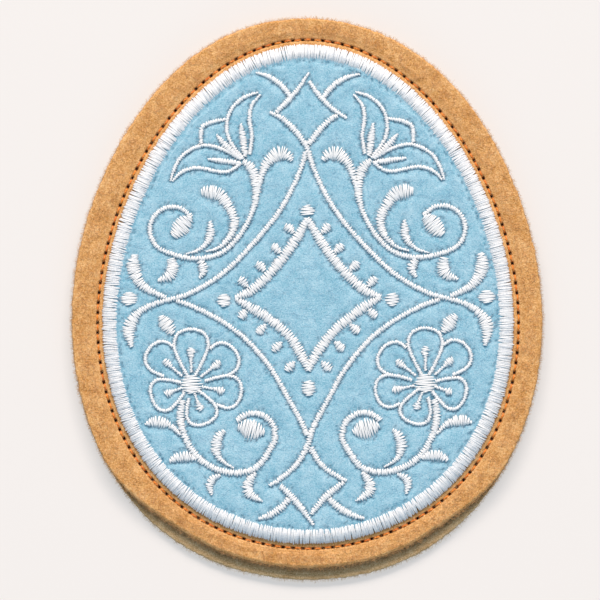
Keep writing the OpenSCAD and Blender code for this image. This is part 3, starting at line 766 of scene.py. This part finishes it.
def applique_piece(height):
    """The pale blue felt, on an even grid that is bent into the egg."""
    n = BLUE_CELLS
    u, v = np.meshgrid(np.linspace(-1, 1, n + 1), np.linspace(-1, 1, n + 1), indexing="ij")
    disc_x = u * np.sqrt(1 - v * v / 2)
    disc_y = v * np.sqrt(1 - u * u / 2)
    wide = disc_x * (1 - APPLIQUE_NARROWING * disc_y) * APPLIQUE_HALF[0]
    flat = np.stack([wide, disc_y * APPLIQUE_HALF[1] + EGG_RISE], -1)
    xy = placed(flat.reshape(-1, 2))
    z, painted_shade = height(xy)
    inside = APPLIQUE_HALF[1] * (1 - np.hypot(disc_x, disc_y)).ravel()
    z = z - 0.4 * (1 - smooth_step(inside, 0, 1.3))
    verts = [np.column_stack([xy, z])]
    quads = [grid_quads(n + 1, n + 1, False)]
    index = np.arange((n + 1) ** 2).reshape(n + 1, n + 1)
    loop = np.concatenate([index[:-1, 0], index[-1, :-1], index[:0:-1, -1], index[0, :0:-1]])
    centre = placed([[0, EGG_RISE]])[0]
    ring = loop
    size = len(loop)
    total = len(xy)
    for share, level in BLUE_UNDER:
        spot = centre + (xy[loop] - centre) * share
        verts.append(np.column_stack([spot, np.full(size, level)]))
        after = np.arange(total, total + size)
        total += size
        quads.append(np.stack([ring, after, np.roll(after, -1), np.roll(ring, -1)], -1))
        ring = after
    verts.append([[centre[0], centre[1], FRONT_TOP]])
    fan = np.stack([np.full(size, total), np.roll(ring, -1), ring], -1)
    shade = np.concatenate([painted_shade, np.zeros(total + 1 - len(xy))])
    return mesh_object("applique_sheet", np.vstack(verts), [np.concatenate(quads), fan], {"painted_shade": shade})


# ---------- loose fibres
FIBRES = 6500
STRIP_FIBRES = 4200


def fibres(name, start, height, rng, length, lift, radius=0.016, outward=None):
    """Fine loose fibres that lie on a surface, or stick out from an edge if outward directions are given."""
    count = len(start)
    share = np.array([0, 0.3, 0.65, 1.0])
    size = rng.uniform(length[0], length[1], count)
    if outward is None:
        heading = rng.uniform(0, 2 * math.pi, count)
    else:
        heading = np.arctan2(outward[:, 1], outward[:, 0]) + rng.normal(0, 0.9, count)
    bend = rng.normal(0, 1.3, count)
    xy = [start]
    for k in range(1, len(share)):
        turn = heading + bend * share[k]
        step = (size * (share[k] - share[k - 1]))[:, None]
        xy.append(xy[-1] + step * towards(turn))
    xy = np.stack(xy, 1)
    rise = rng.uniform(0.2, 1, count)[:, None] * lift * np.sin(math.pi * (0.12 + 0.8 * share))[None]
    if outward is None:
        z = height(xy.reshape(-1, 2)).reshape(count, -1) + rise
    else:
        drift = rng.normal(0, 0.18, count)[:, None] * share[None]
        z = height[:, None] + drift + rise * rng.uniform(-1, 1, count)[:, None]
    paths = np.concatenate([xy, np.maximum(z, 2 * radius)[..., None]], -1)
    return tubes(name, paths, radius, radius, sides=4, randoms=rng.random(count))


# ---------- materials
def linear(*colours):
    """sRGB colours, 0 to 255, as the linear values that shaders use."""
    out = []
    for colour in colours:
        shares = [value / 255 for value in colour]
        out.append((*(v / 12.92 if v <= 0.04045 else ((v + 0.055) / 1.055) ** 2.4 for v in shares), 1.0))
    return out


class Shader:
    """Short ways to add and join a material's nodes."""

    def __init__(self, name, roughness, sheen=0.0, specular=0.5):
        self.material = bpy.data.materials.new(name)
        self.material.use_nodes = True
        self.tree = self.material.node_tree
        self.surface = self.tree.nodes["Principled BSDF"]
        self.put("Roughness", roughness)
        self.put("Sheen Weight", sheen)
        self.put("Sheen Roughness", 0.4)
        self.put("Specular IOR Level", specular)

    def add(self, kind, **values):
        node = self.tree.nodes.new(kind)
        for key, value in values.items():
            if hasattr(node, key):
                setattr(node, key, value)
            else:
                node.inputs[key].default_value = value
        return node

    def link(self, source, target):
        self.tree.links.new(source, target)

    def feed(self, socket, value):
        """Gives a socket a constant or another node's output."""
        if isinstance(value, (int, float, tuple)):
            socket.default_value = value
        else:
            self.link(value, socket)

    def put(self, name, value):
        self.feed(self.surface.inputs[name], value)

    def math(self, operation, *values):
        node = self.add("ShaderNodeMath", operation=operation)
        for socket, value in zip(node.inputs, values):
            self.feed(socket, value)
        return node.outputs[0]

    def noise(self, vector, scale, detail, roughness, distortion=0.0):
        values = {"Scale": scale, "Detail": detail, "Roughness": roughness, "Distortion": distortion}
        node = self.add("ShaderNodeTexNoise", **values)
        self.link(vector, node.inputs["Vector"])
        return node.outputs["Fac"]

    def stretched(self, vector, angle, scale):
        node = self.add("ShaderNodeMapping")
        node.inputs["Rotation"].default_value = (0, 0, angle)
        node.inputs["Scale"].default_value = scale
        self.link(vector, node.inputs["Vector"])
        return node.outputs["Vector"]

    def ramp(self, value, stops):
        node = self.add("ShaderNodeValToRGB")
        elements = node.color_ramp.elements
        while len(elements) < len(stops):
            elements.new(0.5)
        for element, (position, colour) in zip(elements, stops):
            element.position = position
            element.color = colour
        self.link(value, node.inputs["Fac"])
        return node.outputs["Color"]

    def mix(self, share, a, b):
        node = self.add("ShaderNodeMix", data_type="RGBA", blend_type="MIX")
        for key, value in (("Factor", share), ("A", a), ("B", b)):
            self.feed(node.inputs[key], value)
        return node.outputs["Result"]

    def thread_values(self):
        """Each thread's own values: the distance along it, the share round it, and its random number."""
        split = self.add("ShaderNodeSeparateXYZ")
        values = self.add("ShaderNodeAttribute", attribute_name="thread").outputs["Vector"]
        self.link(values, split.inputs[0])
        return split.outputs

    def bump(self, height, strength, distance):
        node = self.add("ShaderNodeBump", Strength=strength, Distance=distance)
        self.link(height, node.inputs["Height"])
        self.put("Normal", node.outputs["Normal"])


def felt_material(name, dark, mid, light, pit):
    """Felt: matted fibres in slightly different shades, with painted shade in needle holes, crevices and at
    the foot of a cut.
    """
    dark, mid, light, pit = linear(dark, mid, light, pit)
    s = Shader(name, roughness=0.95, sheen=0.1, specular=0.1)
    place = s.add("ShaderNodeTexCoord").outputs["Object"]
    clumps = s.noise(place, 350, 3, 0.6, 0.4)
    grain = s.noise(place, 3200, 3, 0.7)
    streak_a = s.noise(s.stretched(place, 0.5, (1, 4, 1)), 1500, 2, 0.5, 0.8)
    streak_b = s.noise(s.stretched(place, 2.1, (1, 4, 1)), 1500, 2, 0.5, 0.8)
    streaks = s.math("MAXIMUM", streak_a, streak_b)
    blend = s.math("ADD", s.math("MULTIPLY", clumps, 0.22), s.math("MULTIPLY", grain, 0.53))
    blend = s.math("ADD", blend, s.math("MULTIPLY", streaks, 0.25))
    colour = s.ramp(blend, [(0.4, dark), (0.51, mid), (0.62, light)])
    # Painted shade, which mixes the felt towards its pit colour
    painted_shade = s.add("ShaderNodeAttribute", attribute_name="painted_shade").outputs["Fac"]
    s.put("Base Color", s.mix(painted_shade, colour, pit))
    s.bump(blend, 0.8, 0.00025)
    return s.material


def fibre_material(name, dark, light):
    """Loose fibres, each in its own shade."""
    dark, light = linear(dark, light)
    s = Shader(name, roughness=0.8, sheen=0.2, specular=0.3)
    s.put("Base Color", s.ramp(s.thread_values()["Z"], [(0, dark), (1, light)]))
    return s.material


def thread_material(name, shade, bright, between, sunk, roughness, twist_length, twist_bump, blotches=0.0):
    """Twisted thread: slanting filaments, a slightly different shade on each thread, painted shade on its
    flanks and where it is sunk in a hole.
    """
    shade, bright, between, sunk = linear(shade, bright, between, sunk)
    s = Shader(name, roughness=roughness, sheen=0.1, specular=0.5)
    thread = s.thread_values()
    along = s.math("MULTIPLY", thread["X"], 1 / twist_length)
    slope = s.math("MULTIPLY", s.math("ADD", along, thread["Y"]), 2 * math.pi)
    wave = s.math("ABSOLUTE", s.math("SINE", slope))
    filaments = s.math("SINE", s.math("MULTIPLY", slope, 4))
    ply = s.math("ADD", wave, s.math("MULTIPLY", filaments, 0.2))
    tone = s.math("ADD", s.math("MULTIPLY", thread["Z"], 0.7), s.math("MULTIPLY", wave, 0.3))
    if blotches:
        place = s.add("ShaderNodeTexCoord").outputs["Object"]
        patch = s.math("SUBTRACT", s.noise(place, 2600, 2, 0.6), 0.5)
        tone = s.math("ADD", tone, s.math("MULTIPLY", patch, blotches))
    colour = s.ramp(tone, [(0, shade), (0.7, bright)])
    # Less light reaches the flanks, where the thread lies against the next one
    flank = s.math("ABSOLUTE", s.math("SUBTRACT", thread["Y"], 0.25))
    flank = s.ramp(s.math("MULTIPLY", flank, 4), [(0.4, (0, 0, 0, 1)), (1, (1, 1, 1, 1))])
    colour = s.mix(flank, colour, between)
    # Painted shade where the thread is sunk into a needle hole or dives into the felt
    painted_shade = s.add("ShaderNodeAttribute", attribute_name="painted_shade").outputs["Fac"]
    s.put("Base Color", s.mix(painted_shade, colour, sunk))
    s.bump(ply, twist_bump, 0.00006)
    return s.material


def sheet_material(name, colour):
    """Non-woven sheet: pressed short fibres."""
    colour = linear(colour)[0]
    s = Shader(name, roughness=0.9, specular=0.2)
    place = s.add("ShaderNodeTexCoord").outputs["Object"]
    grain = s.noise(place, 1800, 4, 0.7)
    soft = tuple(0.85 * c for c in colour[:3]) + (1.0,)
    s.put("Base Color", s.ramp(grain, [(0.3, soft), (0.7, colour)]))
    s.bump(grain, 0.5, 0.0001)
    return s.material


def dress(piece, material, slot, *nodes):
    """Gives a new piece its material and its body, and hides the CAD nodes it stands for; slot is not used.
    """
    piece.data.materials.append(material)
    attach(piece, "root")
    if nodes:
        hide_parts(*nodes)


# The last colour of each felt is painted shade for its needle holes, crevices and the foot of a cut
TAN = felt_material("tan_felt", (182, 123, 60), (224, 168, 104), (250, 204, 146), (40, 18, 8))
# The backing felt is a greyer, more olive copy of the tan: painted shade, so that its strip in the front
# felt's shadow looks cool
BACKING_TAN = felt_material(
    "backing_tan_felt", (162, 124, 76), (204, 168, 122), (234, 206, 162), (40, 20, 10),
)
BLUE = felt_material("blue_felt", (116, 176, 200), (157, 203, 222), (192, 224, 238), (62, 108, 138))
TAN_FIBRE = fibre_material("tan_fibres", (190, 138, 84), (228, 182, 126))
BACKING_FIBRE = fibre_material("backing_tan_fibres", (172, 142, 100), (214, 188, 146))
BLUE_FIBRE = fibre_material("blue_fibres", (140, 200, 224), (205, 234, 247))
# The third and fourth colours of each thread are painted shade: for its flanks, and for where it is sunk
WHITE = thread_material(
    "white_thread", (232, 237, 242), (252, 252, 252), (230, 234, 238), (146, 174, 194),
    roughness=0.4, twist_length=0.8, twist_bump=0.35, blotches=2.0,
)
BORDER_WHITE = thread_material(
    "border_thread", (214, 221, 229), (246, 247, 248), (222, 227, 233), (146, 174, 194),
    roughness=0.5, twist_length=0.8, twist_bump=0.35, blotches=2.0,
)
ORANGE = thread_material(
    "orange_thread", (228, 100, 16), (255, 158, 52), (196, 70, 10), (34, 9, 6),
    roughness=0.3, twist_length=0.5, twist_bump=0.6,
)
FINE = thread_material(
    "fine_thread", (226, 226, 222), (244, 243, 240), (200, 200, 196), (150, 150, 146),
    roughness=0.5, twist_length=0.6, twist_bump=0.5,
)
SHEET = sheet_material("stabilizer_sheet", (236, 236, 230))

# ---------- build the stitching
all_holes = []
for number, (name, strokes) in enumerate(MOTIFS.items()):
    piece, holes = motif_piece(name, strokes, 100 + number)
    dress(piece, WHITE, "motif_thread", name)
    all_holes.append(holes)

border, inner_holes = border_piece(11)
dress(border, BORDER_WHITE, "border_thread", "satin_border")

seam = seam_piece("edge_seam_stitches", seam_spots, FRONT_TOP - 1.4, FRONT_TOP - 0.02, 12)
dress(seam, ORANGE, "orange_thread", "seam_top_thread")
under_seam = seam_piece("underside_seam_stitches", seam_spots, 0.9, 0.38, 13, twist=-1.0)
dress(under_seam, ORANGE, "orange_thread", "seam_bobbin_thread")

# ---------- build the felts
front_edge_curve = felt_outline(FRONT_SHORT_CUT)
# The scissors were held at a slant where the front felt was cut short, at the wide end
front_bevel = 0.6 * smooth_step(-np.sin(spokes), 0.55, 0.9)
front, front_edge = felt_piece(
    "front_sheet", front_edge_curve, FRONT_LOW, FRONT_TOP - FRONT_LOW,
    puff=0.22, grooved_top=True, bevel=front_bevel, foot=0.7, seed=22,
)
dress(front, TAN, "tan_front_felt", "front_felt")
backing, backing_edge = felt_piece(
    "backing_sheet", BACKING_OUTLINE, 0.0, BACKING_TOP,
    puff=0.05, grooved_top=False, bevel=0.0, foot=0.0, seed=21, upper_edge=front_edge,
)
dress(backing, BACKING_TAN, "tan_backing_felt", "backing_felt")

stitch_rows = [stroke_samples(s, 8) for strokes in MOTIFS.values() for s in strokes]
border_line, _ = even_places(design_egg((BORDER_OUTER + BORDER_INNER) / 2), 1200)
border_half = np.full((len(border_line), 1), BORDER_OUTER - BORDER_INNER)
stitch_points = np.vstack(stitch_rows + [np.hstack([border_line, border_half])])
stitch_tree = tree_of(stitch_points[:, :2])
stitch_half = stitch_points[:, 2] / 2
# Only some of the needle holes show as dimples in the blue felt
hole_rng = np.random.default_rng(41)
holes = np.vstack(all_holes)
motif_dimples = holes[hole_rng.random(len(holes)) < 0.22]
border_dimples = inner_holes[hole_rng.random(len(inner_holes)) < 0.2]
hole_tree = tree_of(np.vstack([motif_dimples, border_dimples]))


def blue_height(xy):
    return applique_height(xy, stitch_tree, stitch_half, hole_tree)


applique = applique_piece(blue_height)
dress(applique, BLUE, "blue_felt", "applique_felt")

# ---------- loose fibres on the felts
fuzz = np.random.default_rng(51)
tries = 9000
turn = fuzz.uniform(0, 2 * math.pi, tries)
share = np.sqrt(fuzz.random(tries))[:, None]
spots = placed(egg(APPLIQUE_HALF, APPLIQUE_NARROWING, turn) * share + [0, EGG_RISE])
spots = spots[stitch_gap(spots, stitch_tree, stitch_half) > 0.5][:FIBRES]
blue_fuzz = fibres("applique_fibres", spots, lambda xy: blue_height(xy)[0] + 0.015, fuzz, (1.0, 3.0), 0.12)
dress(blue_fuzz, BLUE_FIBRE, "blue_felt")


def edge_fibres(name, edge, low_z, high_z, slot, material):
    """Fibres that stick out of a felt's cut edge."""
    pick = fuzz.integers(0, len(spokes), FIBRES)
    out = towards(spokes[pick])
    start = out * (edge[pick] - fuzz.uniform(0.02, 0.3, FIBRES))[:, None]
    height = fuzz.uniform(low_z, high_z, FIBRES)
    dress(fibres(name, start, height, fuzz, (0.3, 1.0), 0.15, outward=out), material, slot)


edge_fibres("front_edge_fibres", front_edge, FRONT_LOW + 0.1, FRONT_TOP + 0.1, "tan_front_felt", TAN_FIBRE)
edge_fibres("backing_edge_fibres", backing_edge, 0.25, BACKING_TOP - 0.1, "tan_backing_felt", BACKING_FIBRE)

# On the margin between the seam and the front felt's edge
pick = fuzz.integers(0, len(spokes), FIBRES)
margin = front_edge[pick] - 0.4 - (seam_radius[pick] + 0.6)
reach = seam_radius[pick] + 0.6 + margin * fuzz.random(FIBRES)
spots = towards(spokes[pick]) * reach[:, None]
margin_fuzz = fibres(
    "margin_fibres", spots, lambda xy: np.full(len(xy), FRONT_TOP + 0.3), fuzz, (0.6, 1.8), 0.1,
)
dress(margin_fuzz, TAN_FIBRE, "tan_front_felt")

# Along the border's outer edge, most of them pointing in at its threads
border_spots, border_normals = even_places(design_egg(BORDER_OUTER + 0.12), STRIP_FIBRES)
heading = border_normals * fuzz.choice([-1.0, 1.0], STRIP_FIBRES, p=[0.7, 0.3])[:, None]
strip_z = fuzz.uniform(FRONT_TOP - 0.05, FRONT_TOP + 0.25, STRIP_FIBRES)
strip_fuzz = fibres(
    "border_edge_fibres", border_spots, strip_z, fuzz, (0.3, 0.8), 0.3, radius=0.014, outward=heading,
)
dress(strip_fuzz, TAN_FIBRE, "tan_front_felt")

# ---------- hidden pieces keep their CAD shapes
for node, material in (
    ("stabilizer", SHEET), ("placement_thread", FINE), ("tackdown_thread", FINE),
    ("border_bobbin_thread", FINE), ("motif_bobbin_thread", FINE),
):
    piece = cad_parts[node]
    piece.data.materials.clear()
    piece.data.materials.append(material)

# ---------- floor, light and camera
FLOOR_HALF = 0.9
floor_mesh = bpy.data.meshes.new("floor")
corners = [(FLOOR_HALF * x, FLOOR_HALF * y, 0) for x, y in ((-1, -1), (1, -1), (1, 1), (-1, 1))]
floor_mesh.from_pydata(corners, [], [(0, 1, 2, 3)])
floor = placed_object("floor", floor_mesh)
paper = Shader("floor_paper", roughness=0.9, specular=0.1)
# The paper glows faintly, which keeps the coaster's shadow on it light
paper.put("Base Color", (0.43, 0.413, 0.40, 1))
paper.put("Emission Color", (0.462, 0.44, 0.428, 1))
paper.put("Emission Strength", 1.0)
floor_mesh.materials.append(paper.material)


def area_light(name, place, size, power, colour):
    """A rectangular light that faces the middle of the coaster."""
    data = bpy.data.lights.new(name, "AREA")
    data.shape = "RECTANGLE"
    data.size, data.size_y = size
    data.energy = power
    data.color = colour
    lamp = placed_object(name, data)
    lamp.location = place
    lamp.rotation_euler = (-Vector(place)).to_track_quat("-Z", "Y").to_euler()


area_light("key", (0, 3.2, 2.41), (4.0, 0.8), 227.0, (1, 0.863, 0.767))
area_light("fill", (0, -3.4, 1.2), (4.0, 1.0), 20.0, (0.5, 0.82, 1.0))
world = bpy.data.worlds.new("studio")
world.use_nodes = True
world.node_tree.nodes["Background"].inputs["Color"].default_value = (0.68, 0.85, 1.0, 1)
world.node_tree.nodes["Background"].inputs["Strength"].default_value = 0.46
bpy.context.scene.world = world
bpy.context.scene.view_settings.view_transform = "Standard"

# The view looks straight down, a little to the left of and below the middle of the coaster
VIEW_WIDTH = 0.13584
VIEW_HEIGHT = 1.2
SENSOR = 36.0
camera_data = bpy.data.cameras.new("camera")
camera_data.sensor_width = SENSOR
camera_data.lens = SENSOR * VIEW_HEIGHT / VIEW_WIDTH
camera_data.clip_end = 20
camera = placed_object("camera", camera_data)
camera.location = (-1.59 * MM, -0.12 * MM, VIEW_HEIGHT + 0.004)
bpy.context.scene.camera = camera
